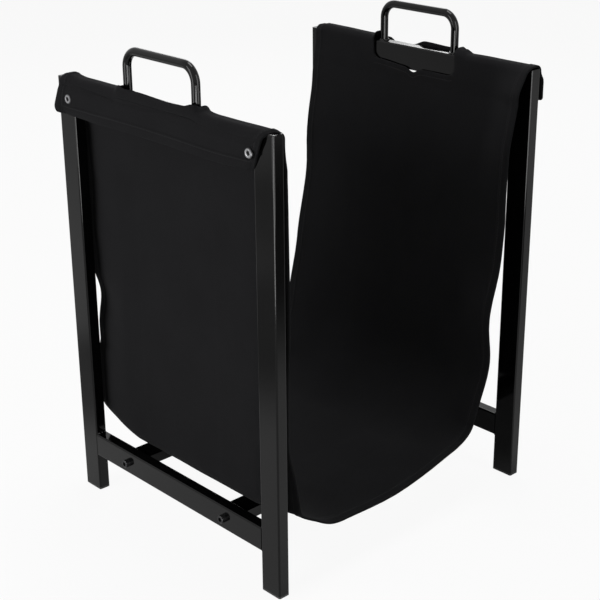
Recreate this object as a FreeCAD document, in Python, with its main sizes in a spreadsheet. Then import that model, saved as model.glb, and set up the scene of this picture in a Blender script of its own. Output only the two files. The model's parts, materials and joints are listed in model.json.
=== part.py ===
import FreeCAD, Part
import math
import os
import Sketcher

# Log carrier with stand: two welded end frames of rectangular tube, bolted to two stretchers, with a
# canvas sling saddled over the top rails. X runs from the left frame to the right one, Y from the near
# legs to the far ones, Z up. The origin is on the floor under the middle. Millimetres.

doc = FreeCAD.newDocument("log_carrier_with_stand")
dim = doc.addObject("Spreadsheet::Sheet", "dim")

driving_sizes = {
    # Stand
    "stand_length": 424,
    "stand_depth": 374,
    "frame_height": 538,
    "tube_width": 30,
    "tube_thickness": 15,
    "tube_wall": 1.5,
    "tube_corner": 2,
    "lower_rail_clearance": 50,
    "stretcher_spacing": 184,
    # Handles
    "handle_rod": 10,
    "handle_span": 119,
    "handle_height": 53,
    "handle_bend": 19,
    # Feet and thread plugs
    "foot_flange": 2.5,
    "foot_stem": 18,
    "plug_spare": 5,
    "plug_clearance": 0.15,
    # Bolts
    "bolt_thread": 6,
    "bolt_engagement": 15,
    "bolt_head": 10,
    "bolt_head_height": 6,
    "bolt_head_chamfer": 0.6,
    "bolt_key": 5,
    "bolt_key_depth": 3,
    "bolt_hole_play": 0.6,
    "thread_play": 0.2,
    # Canvas
    "canvas_thickness": 2,
    "canvas_inset": 6,
    "canvas_gap": 0.3,
    "fold_gap": 1.1,
    "fold_rise": 2,
    "fold_flat": 5.2,
    "fold_tail": 0.7,
    "window_drop": 27,
    "window_sill": 11,
    "window_corner": 10,
    "window_side_play": 4,
    "window_lip_play": 0.8,
    # Trough of the sling: over the stretchers, and where its free ends droop past them
    "trough_margin": 2,
    "left_bend": 41,
    "left_end_bend": 110,
    "right_bend": 100,
    "right_end_bend": 155,
    "right_inset": 49,
    "right_end_inset": 51,
    "bow_inset": 24,
    "bow_drop": 110,
    "bow_bend": 300,
    "lean_start": 4,
    "lean_bend": 30,
    "end_droop": 19,
    # Flaps
    "flap_inset": 7,
    "flap_drop": 41,
    "flap_lean": 8,
    "flap_lean_bend": 16,
    "flap_corner": 12,
    "hinge_play": 0.3,
    # Press studs
    "stud_inset": 29,
    "stud_drop": 22,
    "stud_play": 0.4,
    "post_height": 2.2,
    "post_base": 7,
    "post_base_thickness": 0.6,
    "post_neck": 3,
    "post_head": 4,
    "post_head_thickness": 0.9,
    "post_rivet": 2.8,
    "rivet_play": 0.2,
    "rivet_tail": 1.5,
    "cap_diameter": 11,
    "cap_height": 1.6,
    "cap_edge": 0.7,
    "cap_dish": 5,
    "cap_dish_depth": 0.9,
    "cap_shank": 3.6,
    "shank_play": 0.2,
    "socket_diameter": 9,
    "socket_height": 1.9,
    "socket_edge": 0.5,
    "socket_cup_play": 0.3,
    "socket_cup_depth": 1.1,
}

worked_out_sizes = {
    "frame_x": "=(stand_length - tube_thickness) / 2",
    "leg_y": "=(stand_depth - tube_width) / 2",
    "leg_length": "=frame_height - foot_flange",
    "bore_width": "=tube_width - 2 * tube_wall",
    "bore_thickness": "=tube_thickness - 2 * tube_wall",
    "lower_rail_z": "=lower_rail_clearance + tube_width / 2",
    "lower_rail_length": "=stand_depth - 2 * tube_width",
    "stretcher_top": "=lower_rail_z + tube_thickness / 2",
    "stretcher_length": "=stand_length - 2 * tube_thickness",
    "bolt_length": "=tube_thickness + bolt_engagement",
    "plug_length": "=bolt_engagement + plug_spare",
    "handle_axis_height": "=handle_height - handle_rod / 2",
    "half_canvas": "=canvas_thickness / 2",
    "canvas_width": "=stand_depth - 2 * canvas_inset",
    "trough_flat": "=stretcher_spacing + tube_width + 2 * trough_margin",
    "fold_reach": "=tube_thickness / 2 + fold_gap + half_canvas",
    "fold_radius": "=fold_reach - fold_flat / 2",
    "fold_top": "=frame_height + fold_rise + half_canvas",
    "fold_end": "=fold_top - fold_radius - fold_tail",
    "fold_band": "=window_drop + window_sill",
    "window_width": "=handle_span + handle_rod + 2 * window_side_play",
    "flap_width": "=stand_depth - 2 * flap_inset",
    "hinge_x": "=frame_x + fold_reach",
    "hinge_z": "=fold_end - hinge_play - half_canvas",
    "stud_stack": "=post_height + stud_play + socket_height",
    "flap_x": "=stand_length / 2 + stud_stack + half_canvas",
    "stud_spacing": "=stand_depth - 2 * stud_inset",
    "stud_z": "=frame_height - stud_drop",
    "socket_cup": "=post_head + 2 * socket_cup_play",
}

for row, (name, size) in enumerate((driving_sizes | worked_out_sizes).items(), start=1):
    dim.set("A%d" % row, name)
    dim.set("B%d" % row, str(size))
    dim.setAlias("B%d" % row, name)
doc.recompute()


def value(formula):
    return float(dim.evalExpression(formula))


def new_body(label):
    body = doc.addObject("PartDesign::Body", label)
    body.Label = label
    return body


def place(body, x, y, z, rotation=FreeCAD.Rotation()):
    body.Placement = FreeCAD.Placement(FreeCAD.Vector(value(x), value(y), value(z)), rotation)
    for axis, formula in zip("xyz", (x, y, z)):
        body.setExpression("Placement.Base." + axis, formula)


def new_sketch(body, plane_role, name):
    plane = next(item for item in body.Origin.OriginFeatures if item.Role == plane_role)
    sketch = body.newObject("Sketcher::SketchObject", name)
    sketch.AttachmentSupport = [(plane, "")]
    sketch.MapMode = "FlatFace"
    return sketch


def bind(sketch, constraint, formula):
    index = sketch.addConstraint(constraint)
    sketch.setExpression("Constraints[%d]" % index, formula)


def pin(sketch, item, end, x, y):
    # Holds one point of a sketch at two formulas, measured from the sketch's origin.
    bind(sketch, Sketcher.Constraint("DistanceX", -1, 1, item, end, value(x)), x)
    bind(sketch, Sketcher.Constraint("DistanceY", -1, 1, item, end, value(y)), y)


def outline(sketch, corners):
    # Closed polygon through corners given as pairs of formulas.
    first = sketch.GeometryCount
    count = len(corners)
    points = [FreeCAD.Vector(value(x), value(y), 0) for x, y in corners]
    for index in range(count):
        sketch.addGeometry(Part.LineSegment(points[index], points[(index + 1) % count]), False)
    for index in range(count):
        after = first + (index + 1) % count
        sketch.addConstraint(Sketcher.Constraint("Coincident", first + index, 2, after, 1))
    for index, (x, y) in enumerate(corners):
        pin(sketch, first + index, 1, x, y)


def rectangle(sketch, width, height):
    left, right = "-(%s) / 2" % width, "(%s) / 2" % width
    low, high = "-(%s) / 2" % height, "(%s) / 2" % height
    outline(sketch, [(left, low), (right, low), (right, high), (left, high)])


def circle(sketch, x, y, diameter):
    radius = "(%s) / 2" % diameter
    centre = FreeCAD.Vector(value(x), value(y), 0)
    item = sketch.addGeometry(Part.Circle(centre, FreeCAD.Vector(0, 0, 1), value(radius)), False)
    bind(sketch, Sketcher.Constraint("Radius", item, value(radius)), radius)
    pin(sketch, item, 3, x, y)


def pad(body, sketch, length):
    feature = body.newObject("PartDesign::Pad", sketch.Name + "_pad")
    feature.Profile = sketch
    feature.setExpression("Length", length)
    doc.recompute()
    return feature


def pocket(body, sketch, length=None):
    # Cuts right through both ways, or to one length against the sketch's normal.
    before = body.Shape.Volume
    feature = body.newObject("PartDesign::Pocket", sketch.Name + "_cut")
    feature.Profile = sketch
    if length is None:
        feature.Type = "ThroughAll"
        feature.SideType = "Symmetric"
    else:
        feature.setExpression("Length", length)
    doc.recompute()
    if body.Shape.Volume >= before:
        raise RuntimeError(sketch.Name + " cuts nothing")
    return feature


def round_long_edges(body, feature):
    # Rounds the four outermost edges along Z of a straight tube or flange.
    names = []
    for index, edge in enumerate(feature.Shape.Edges, start=1):
        start, end = edge.Vertexes[0].Point, edge.Vertexes[-1].Point
        if abs(start.x - end.x) < 1e-6 and abs(start.y - end.y) < 1e-6:
            names.append((-abs(start.x), "Edge%d" % index))
    names.sort()
    fillet = body.newObject("PartDesign::Fillet", body.Name + "_corners")
    fillet.Base = (feature, [name for _, name in names[:4]])
    fillet.setExpression("Radius", "dim.tube_corner")
    doc.recompute()
    return fillet


def turned(body, sketch):
    feature = body.newObject("PartDesign::Revolution", sketch.Name + "_turned")
    feature.Profile = sketch
    feature.ReferenceAxis = (sketch, ["V_Axis"])
    feature.Angle = 360
    doc.recompute()
    return feature


def tube(label, length):
    # Rectangular tube along Z from 0, its thickness along X and its width along Y.
    body = new_body(label)
    section = new_sketch(body, "XY_Plane", label + "_section")
    rectangle(section, "dim.tube_thickness", "dim.tube_width")
    rectangle(section, "dim.bore_thickness", "dim.bore_width")
    round_long_edges(body, pad(body, section, length))
    return body


def mitre(body, name, corner_z, towards):
    # Takes off the corner on the tube's +Y side along a 45 degree line through its -Y edge.
    line = new_sketch(body, "YZ_Plane", body.Name + name)
    spare = "dim.tube_corner"
    outer, inner = "-dim.tube_width / 2 - " + spare, "dim.tube_width / 2 + " + spare
    tip = "%s %s %s" % (corner_z, "-" if towards > 0 else "+", spare)
    heel = "%s %s (dim.tube_width + %s)" % (corner_z, "+" if towards > 0 else "-", spare)
    outline(line, [(outer, tip), (inner, heel), (inner, tip)])
    pocket(body, line)


half_turn = FreeCAD.Rotation(FreeCAD.Vector(0, 0, 1), 180)
along_y = FreeCAD.Rotation(FreeCAD.Vector(1, 0, 0), -90)
along_x = FreeCAD.Rotation(FreeCAD.Vector(0, 1, 0), 90)
against_x = FreeCAD.Rotation(FreeCAD.Vector(0, 1, 0), -90)
sides = {"left": "-", "right": ""}
ends = {"near": "-", "far": ""}


def legs():
    for side, sign_x in sides.items():
        for end, sign_y in ends.items():
            leg = tube("%s_%s_leg" % (side, end), "dim.leg_length")
            mitre(leg, "_mitre", "dim.leg_length", -1)
            turn = FreeCAD.Rotation() if end == "near" else half_turn
            place(leg, sign_x + "dim.frame_x", sign_y + "dim.leg_y", "dim.foot_flange", turn)


def feet():
    # Plugs in the open ends of the legs. The flange carries the leg and has the tube's outline.
    for side, sign_x in sides.items():
        for end, sign_y in ends.items():
            foot = new_body("%s_%s_foot" % (side, end))
            flange = new_sketch(foot, "XY_Plane", foot.Name + "_flange")
            rectangle(flange, "dim.tube_thickness", "dim.tube_width")
            round_long_edges(foot, pad(foot, flange, "dim.foot_flange"))
            stem = new_sketch(foot, "XY_Plane", foot.Name + "_stem")
            rectangle(stem, "dim.bore_thickness - 2 * dim.plug_clearance",
                      "dim.bore_width - 2 * dim.plug_clearance")
            pad(foot, stem, "dim.foot_flange + dim.foot_stem")
            place(foot, sign_x + "dim.frame_x", sign_y + "dim.leg_y", "0")


def top_rails():
    # Each rail is drilled in its outer wall for the rivets of two press stud posts.
    for side, sign_x in sides.items():
        rail = tube(side + "_top_rail", "dim.stand_depth")
        mitre(rail, "_first_mitre", "0", 1)
        mitre(rail, "_second_mitre", "dim.stand_depth", -1)
        drilling = new_sketch(rail, "YZ_Plane", side + "_rivet_holes")
        for sign in ("-", "+"):
            circle(drilling, "dim.stud_drop - dim.tube_width / 2",
                   "dim.stand_depth / 2 %s dim.stud_spacing / 2" % sign, "dim.post_rivet + dim.rivet_play")
        pocket(rail, drilling, "dim.tube_thickness")
        place(rail, sign_x + "dim.frame_x", sign_x + "dim.stand_depth / 2",
              "dim.frame_height - dim.tube_width / 2", along_y if side == "left" else half_turn * along_y)


def lower_rails():
    # Drilled right through for the bolts, which lie on the middle lines of the stretchers.
    for side, sign_x in sides.items():
        rail = tube(side + "_lower_rail", "dim.lower_rail_length")
        drilling = new_sketch(rail, "YZ_Plane", side + "_bolt_holes")
        for sign in ("-", "+"):
            circle(drilling, "0", "dim.lower_rail_length / 2 %s dim.stretcher_spacing / 2" % sign,
                   "dim.bolt_thread + dim.bolt_hole_play")
        pocket(rail, drilling)
        place(rail, sign_x + "dim.frame_x", "-dim.lower_rail_length / 2", "dim.lower_rail_z", along_y)


def stretchers():
    for end, sign_y in ends.items():
        bar = tube(end + "_stretcher", "dim.stretcher_length")
        place(bar, "-dim.stretcher_length / 2", sign_y + "dim.stretcher_spacing / 2",
              "dim.lower_rail_z", along_x)


def thread_plugs():
    # Blocks in the stretcher ends that take the bolts.
    for side, sign_x in sides.items():
        for end, sign_y in ends.items():
            block = new_body("%s_%s_thread_plug" % (side, end))
            section = new_sketch(block, "XY_Plane", block.Name + "_section")
            rectangle(section, "dim.bore_thickness - 2 * dim.plug_clearance",
                      "dim.bore_width - 2 * dim.plug_clearance")
            circle(section, "0", "0", "dim.bolt_thread + dim.thread_play")
            pad(block, section, "dim.plug_length")
            place(block, sign_x + "dim.stretcher_length / 2", sign_y + "dim.stretcher_spacing / 2",
                  "dim.lower_rail_z", along_x if side == "left" else against_x)


def bolts():
    # Socket head bolts along Z, the underside of the head at 0.
    for side, sign_x in sides.items():
        for end, sign_y in ends.items():
            bolt = new_body("%s_%s_bolt" % (side, end))
            profile = new_sketch(bolt, "XZ_Plane", bolt.Name + "_profile")
            thread, head = "dim.bolt_thread / 2", "dim.bolt_head / 2"
            outline(profile, [("0", "-dim.bolt_length"), (thread, "-dim.bolt_length"), (thread, "0"),
                              (head, "0"), (head, "dim.bolt_head_height - dim.bolt_head_chamfer"),
                              (head + " - dim.bolt_head_chamfer", "dim.bolt_head_height"),
                              ("0", "dim.bolt_head_height")])
            turned(bolt, profile)
            key = new_sketch(bolt, "XY_Plane", bolt.Name + "_key")
            key.setExpression("AttachmentOffset.Base.z", "dim.bolt_head_height")
            hexagon = []
            for corner in range(6):
                hexagon.append(("dim.bolt_key / sqrt(3) * cos(%d deg)" % (60 * corner),
                                "dim.bolt_key / sqrt(3) * sin(%d deg)" % (60 * corner)))
            outline(key, hexagon)
            pocket(bolt, key, "dim.bolt_key_depth")
            place(bolt, sign_x + "dim.stand_length / 2", sign_y + "dim.stretcher_spacing / 2",
                  "dim.lower_rail_z", against_x if side == "left" else along_x)


def handles():
    # A round rod carried along an upside-down U, with its two ends on the top rail.
    half_span, top = "dim.handle_span / 2", "dim.handle_axis_height"
    for side, sign_x in sides.items():
        handle = new_body(side + "_handle")
        path = new_sketch(handle, "YZ_Plane", side + "_handle_path")
        runs = [("-" + half_span, "0", "-" + half_span, top + " - dim.handle_bend"),
                ("-" + half_span + " + dim.handle_bend", top, half_span + " - dim.handle_bend", top),
                (half_span, top + " - dim.handle_bend", half_span, "0")]
        for index, (y1, z1, y2, z2) in enumerate(runs):
            start = FreeCAD.Vector(value(y1), value(z1), 0)
            end = FreeCAD.Vector(value(y2), value(z2), 0)
            path.addGeometry(Part.LineSegment(start, end), False)
            pin(path, index, 1, y1, z1)
            pin(path, index, 2, y2, z2)
        bend = value("dim.handle_bend")
        for index, sign in enumerate((-1, 1)):
            centre = FreeCAD.Vector(sign * (value(half_span) - bend), value(top) - bend, 0)
            ring = Part.Circle(centre, FreeCAD.Vector(0, 0, 1), bend)
            first = math.pi / 2 if sign < 0 else 0
            arc = path.addGeometry(Part.ArcOfCircle(ring, first, first + math.pi / 2), False)
            path.addConstraint(Sketcher.Constraint("Tangent", index, 2, arc, 2))
            path.addConstraint(Sketcher.Constraint("Coincident", arc, 1, index + 1, 1))
        rod = new_sketch(handle, "XY_Plane", side + "_handle_rod")
        circle(rod, "0", "-" + half_span, "dim.handle_rod")
        bent = handle.newObject("PartDesign::AdditivePipe", side + "_handle_bent")
        bent.Profile = rod
        bent.Spine = path
        doc.recompute()
        place(handle, sign_x + "dim.frame_x", "0", "dim.frame_height")


def stud_posts():
    # Rivet through the rail's outer wall, a base on its face and a headed post outwards.
    for side, sign_x in sides.items():
        for end, sign_y in ends.items():
            post = new_body("%s_%s_stud_post" % (side, end))
            profile = new_sketch(post, "XZ_Plane", post.Name + "_profile")
            tail = "-dim.tube_wall - dim.rivet_tail"
            head_start = "dim.post_height - dim.post_head_thickness"
            outline(profile, [("0", tail), ("dim.post_rivet / 2", tail), ("dim.post_rivet / 2", "0"),
                              ("dim.post_base / 2", "0"), ("dim.post_base / 2", "dim.post_base_thickness"),
                              ("dim.post_neck / 2", "dim.post_base_thickness"),
                              ("dim.post_neck / 2", head_start), ("dim.post_head / 2", head_start),
                              ("dim.post_head / 2", "dim.post_height"), ("0", "dim.post_height")])
            turned(post, profile)
            place(post, sign_x + "dim.stand_length / 2", sign_y + "dim.stud_spacing / 2", "dim.stud_z",
                  against_x if side == "left" else along_x)


def stud_caps():
    # Ring with a dished middle on the flap's outer face, and a shank through the cloth.
    for side, sign_x in sides.items():
        for end, sign_y in ends.items():
            cap = new_body("%s_%s_stud_cap" % (side, end))
            profile = new_sketch(cap, "XZ_Plane", cap.Name + "_profile")
            shank, rim, dish = "dim.cap_shank / 2", "dim.cap_diameter / 2", "dim.cap_dish / 2"
            floor = "dim.cap_height - dim.cap_dish_depth"
            outline(profile, [("0", "-dim.canvas_thickness"), (shank, "-dim.canvas_thickness"), (shank, "0"),
                              (rim, "0"), (rim, "dim.cap_height - dim.cap_edge"),
                              (rim + " - dim.cap_edge", "dim.cap_height"), (dish, "dim.cap_height"),
                              (dish, floor), ("0", floor)])
            turned(cap, profile)
            place(cap, sign_x + "(dim.flap_x + dim.half_canvas)", sign_y + "dim.stud_spacing / 2",
                  "dim.stud_z", against_x if side == "left" else along_x)


def stud_sockets():
    # Cup on the flap's inner face that the post's head snaps into.
    for side, sign_x in sides.items():
        for end, sign_y in ends.items():
            socket = new_body("%s_%s_stud_socket" % (side, end))
            profile = new_sketch(socket, "XZ_Plane", socket.Name + "_profile")
            rim, cup = "dim.socket_diameter / 2", "dim.socket_cup / 2"
            floor = "dim.socket_height - dim.socket_cup_depth"
            outline(profile, [("0", "0"), (rim, "0"), (rim, "dim.socket_height - dim.socket_edge"),
                              (rim + " - dim.socket_edge", "dim.socket_height"), (cup, "dim.socket_height"),
                              (cup, floor), ("0", floor)])
            turned(socket, profile)
            place(socket, sign_x + "(dim.flap_x - dim.half_canvas)", sign_y + "dim.stud_spacing / 2",
                  "dim.stud_z", along_x if side == "left" else against_x)


def cloth_side(corners, bends, offset, y):
    # One face of a strip of cloth in the XZ plane at y: lines joined by tangent arcs, carried to their
    # left by the offset. Returns the edges in order and the two end points.
    points = [FreeCAD.Vector(x, y, z) for x, z in corners]
    runs = [(after - before).normalize() for before, after in zip(points, points[1:])]
    normals = [FreeCAD.Vector(-run.z, 0, run.x) for run in runs]
    edges = []
    start = last = points[0] + normals[0] * offset
    for index, bend in enumerate(bends):
        corner = points[index + 1]
        reach = bend * math.tan(runs[index].getAngle(runs[index + 1]) / 2)
        side = 1 if normals[index].dot(runs[index + 1]) > 0 else -1
        centre = corner - runs[index] * reach + normals[index] * side * bend
        bend_start = corner - runs[index] * reach + normals[index] * offset
        bend_end = corner + runs[index + 1] * reach + normals[index + 1] * offset
        middle = centre + (corner - centre).normalize() * (bend - side * offset)
        edges.append(Part.LineSegment(last, bend_start).toShape())
        edges.append(Part.Arc(bend_start, middle, bend_end).toShape())
        last = bend_end
    end = points[-1] + normals[-1] * offset
    edges.append(Part.LineSegment(last, end).toShape())
    return edges, start, end


def cloth_section(corners, bends, y, round_start=False):
    # Closed outline of the strip, one cloth thick, with a square or round start.
    half = value("dim.half_canvas")
    inner, inner_start, inner_end = cloth_side(corners, bends, half, y)
    outer, outer_start, outer_end = cloth_side(corners, bends, -half, y)
    if round_start:
        first, second = [FreeCAD.Vector(x, y, z) for x, z in corners[:2]]
        tip = first + (first - second).normalize() * half
        start = Part.Arc(outer_start, tip, inner_start).toShape()
    else:
        start = Part.LineSegment(outer_start, inner_start).toShape()
    end = Part.LineSegment(inner_end, outer_end).toShape()
    return Part.Wire([start] + inner + [end] + outer[::-1])


def cloth(label, shape):
    piece = doc.addObject("Part::Feature", label)
    piece.Label = label
    piece.Shape = shape
    return piece


def sling():
    # The trough hangs from the two folds. It lies on the stretchers and droops at its free ends, and its
    # right panel leans in from the rail and bows.
    wall = value("dim.frame_x - dim.fold_reach")
    top = value("dim.frame_height - dim.fold_band")
    lean_top = top - value("dim.lean_start")
    floor = value("dim.stretcher_top + dim.canvas_gap + dim.half_canvas")
    droop = value("dim.end_droop")
    bow = (wall - value("dim.bow_inset"), top - value("dim.bow_drop"))
    panel_bends = [value("dim.bow_bend"), value("dim.lean_bend")]

    def section(y, floor_z, left_bend, right_bend, right_inset):
        corners = [(-wall, top), (-wall, floor_z), (wall - right_inset, floor_z), bow,
                   (wall, lean_top), (wall, top)]
        return cloth_section(corners, [left_bend, right_bend] + panel_bends, y)

    end_sizes = [value("dim." + name) for name in ("left_end_bend", "right_end_bend", "right_end_inset")]
    flat_sizes = [value("dim." + name) for name in ("left_bend", "right_bend", "right_inset")]
    half_width, half_flat = value("dim.canvas_width / 2"), value("dim.trough_flat / 2")
    sections = [section(-half_width, floor - droop, *end_sizes), section(-half_flat, floor, *flat_sizes),
                section(half_flat, floor, *flat_sizes), section(half_width, floor - droop, *end_sizes)]
    cloth("sling", Part.makeLoft(sections, True, True))


def folds():
    # Cloth over the top rail. A window in it, open on the inner side, lets the handle through.
    wall, reach = value("dim.frame_x"), value("dim.fold_reach")
    top, width = value("dim.fold_top"), value("dim.canvas_width")
    corners = [(reach - wall, value("dim.frame_height - dim.fold_band")), (reach - wall, top),
               (-reach - wall, top), (-reach - wall, value("dim.fold_end"))]
    bends = [value("dim.fold_radius")] * 2
    section = cloth_section(corners, bends, -width / 2)
    saddle = Part.Face(section).extrude(FreeCAD.Vector(0, width, 0))
    window_width, corner = value("dim.window_width"), value("dim.window_corner")
    lip = -wall - value("dim.handle_rod / 2 + dim.window_lip_play")
    sill = value("dim.frame_height - dim.window_drop")
    cutter = Part.makeBox(2 * reach - lip - wall, window_width, top + corner - sill,
                          FreeCAD.Vector(lip, -window_width / 2, sill))
    low_edges = []
    for edge in cutter.Edges:
        ends_z = [vertex.Point.z for vertex in edge.Vertexes]
        ends_y = [vertex.Point.y for vertex in edge.Vertexes]
        if max(ends_z) - sill < 1e-6 and abs(ends_y[0] - ends_y[1]) < 1e-6:
            low_edges.append(edge)
    left_fold = saddle.cut(cutter.makeFillet(corner, low_edges))
    cloth("left_fold", left_fold)
    cloth("right_fold", left_fold.mirror(FreeCAD.Vector(0, 0, 0), FreeCAD.Vector(1, 0, 0)))


def flaps():
    # The cloth's outer ends hang from the fold, leaning out to clear the studs, with round corners.
    hinge_x, hinge_z = value("dim.hinge_x"), value("dim.hinge_z")
    hang, low = value("dim.flap_x"), value("dim.frame_height - dim.flap_drop")
    width = value("dim.flap_width")
    corners = [(-hinge_x, hinge_z), (-hang, hinge_z - value("dim.flap_lean")), (-hang, low)]
    section = cloth_section(corners, [value("dim.flap_lean_bend")], -width / 2, round_start=True)
    flap = Part.Face(section).extrude(FreeCAD.Vector(0, width, 0))
    low_edges = []
    for edge in flap.Edges:
        points = [vertex.Point for vertex in edge.Vertexes]
        if max(point.z for point in points) - low < 1e-6 and abs(points[0].y - points[-1].y) < 1e-6:
            low_edges.append(edge)
    flap = flap.makeFillet(value("dim.flap_corner"), low_edges)
    hole_radius = value("(dim.cap_shank + dim.shank_play) / 2")
    thickness = value("dim.canvas_thickness")
    for sign in (-1, 1):
        start = FreeCAD.Vector(-hang - thickness, sign * value("dim.stud_spacing / 2"), value("dim.stud_z"))
        flap = flap.cut(Part.makeCylinder(hole_radius, 2 * thickness, start, FreeCAD.Vector(1, 0, 0)))
    cloth("left_flap", flap)
    cloth("right_flap", flap.mirror(FreeCAD.Vector(0, 0, 0), FreeCAD.Vector(1, 0, 0)))


legs()
feet()
top_rails()
lower_rails()
stretchers()
thread_plugs()
bolts()
handles()
stud_posts()
sling()
folds()
flaps()
stud_caps()
stud_sockets()
doc.recompute()

failed = [item.Name for item in doc.Objects if "Invalid" in item.State or "Error" in item.State]
pieces = [item for item in doc.Objects if item.TypeId in ("PartDesign::Body", "Part::Feature")]
failed += [item.Label for item in pieces if item.Shape.isNull() or not item.Shape.isValid()]
if failed:
    raise RuntimeError("not built: " + ", ".join(failed))

os.makedirs("parts", exist_ok=True)
for piece in pieces:
    piece.Shape.exportStep("parts/%s.step" % piece.Label)
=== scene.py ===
import json
import math
import bpy
import numpy as np
from mathutils import Matrix, Vector


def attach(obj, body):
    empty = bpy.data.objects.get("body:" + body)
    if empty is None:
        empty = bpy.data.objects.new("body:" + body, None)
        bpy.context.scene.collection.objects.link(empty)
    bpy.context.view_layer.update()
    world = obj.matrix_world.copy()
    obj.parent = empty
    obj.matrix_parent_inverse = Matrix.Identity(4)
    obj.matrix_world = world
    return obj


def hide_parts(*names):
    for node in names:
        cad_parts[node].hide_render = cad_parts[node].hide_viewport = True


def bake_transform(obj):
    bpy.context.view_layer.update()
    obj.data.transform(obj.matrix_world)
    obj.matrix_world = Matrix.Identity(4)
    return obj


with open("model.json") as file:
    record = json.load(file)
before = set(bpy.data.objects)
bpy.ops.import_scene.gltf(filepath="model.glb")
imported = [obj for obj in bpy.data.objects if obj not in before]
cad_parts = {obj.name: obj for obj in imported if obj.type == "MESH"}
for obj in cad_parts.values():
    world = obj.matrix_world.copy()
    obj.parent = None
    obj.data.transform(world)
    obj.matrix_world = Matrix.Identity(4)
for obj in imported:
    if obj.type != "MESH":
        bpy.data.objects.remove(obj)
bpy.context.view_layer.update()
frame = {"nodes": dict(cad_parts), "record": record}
nodes = frame["nodes"]
scene = bpy.context.scene
scene.view_settings.view_transform = "Standard"
mm = 0.001
signOf = {"left": -1, "right": 1}  # of X on each side
print("frame loaded:", len(nodes), "nodes")

# Camera at the photograph's angle, from a fit to the frame's corners
view = {"place": (-1.1016, -1.1793, 0.9026), "yaw": 42.969, "pitch": 22.007, "roll": -0.447,
        "lens": 83.784, "sensor": 36}


def placeCamera():
    # ahead from yaw and pitch; right and up turned about it by the roll
    yaw, pitch, roll = (math.radians(view[k]) for k in ("yaw", "pitch", "roll"))
    ahead = Vector((math.sin(yaw) * math.cos(pitch), math.cos(yaw) * math.cos(pitch), -math.sin(pitch)))
    right = Vector((math.cos(yaw), -math.sin(yaw), 0))
    up = right.cross(ahead)
    right, up = math.cos(roll) * right + math.sin(roll) * up, math.cos(roll) * up - math.sin(roll) * right
    camera = bpy.data.cameras.new("photoCamera")
    camera.lens, camera.sensor_width = view["lens"], view["sensor"]
    obj = bpy.data.objects.new("photoCamera", camera)
    scene.collection.objects.link(obj)
    matrix = Matrix((right, up, -ahead)).transposed().to_4x4()
    matrix.translation = Vector(view["place"])
    obj.matrix_world = matrix
    scene.camera = obj


placeCamera()
print("camera placed")


# Node helpers
def newMaterial(name):
    material = bpy.data.materials.new(name)
    material.use_nodes = True
    tree = material.node_tree
    return material, tree, tree.nodes["Principled BSDF"]


def addNode(tree, kind, **settings):
    node = tree.nodes.new(kind)
    for key, value in settings.items():
        setattr(node, key, value)
    return node


def setInputs(node, values):
    for key, value in values.items():
        node.inputs[key].default_value = value
    return node


def math2(tree, operation, a, b=None, clamp=False):
    # one Math node; a and b are sockets or numbers
    node = addNode(tree, "ShaderNodeMath", operation=operation, use_clamp=clamp)
    for slot, item in zip(node.inputs, (a, b)):
        if isinstance(item, (int, float)):
            slot.default_value = item
        elif item is not None:
            tree.links.new(item, slot)
    return node.outputs[0]


def ramp(tree, factor, low, high):
    # colour between low and high by the factor
    node = addNode(tree, "ShaderNodeMix", data_type="RGBA")
    tree.links.new(factor, node.inputs["Factor"])
    setInputs(node, {"A": (*low, 1), "B": (*high, 1)})
    return node.outputs["Result"]


def span(tree, factor, low, high):
    # number between low and high by the factor
    node = setInputs(addNode(tree, "ShaderNodeMapRange"), {"To Min": low, "To Max": high})
    tree.links.new(factor, node.inputs["Value"])
    return node.outputs[0]


def softStep(tree, factor, start, end, low=0.0, high=1.0):
    # smoothstep from low to high as the factor goes from start to end
    node = addNode(tree, "ShaderNodeMapRange", interpolation_type="SMOOTHSTEP")
    setInputs(node, {"From Min": start, "From Max": end, "To Min": low, "To Max": high})
    tree.links.new(factor, node.inputs["Value"])
    return node.outputs[0]


def newGroup(name, inputs, outputs):
    # inputs and outputs are (name, socket type, default or None)
    tree = bpy.data.node_groups.new(name, "ShaderNodeTree")
    for direction, sockets in (("INPUT", inputs), ("OUTPUT", outputs)):
        for label, kind, default in sockets:
            socket = tree.interface.new_socket(name=label, in_out=direction, socket_type=kind)
            if default is not None:
                socket.default_value = default
    return tree, tree.nodes.new("NodeGroupInput"), tree.nodes.new("NodeGroupOutput")


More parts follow.
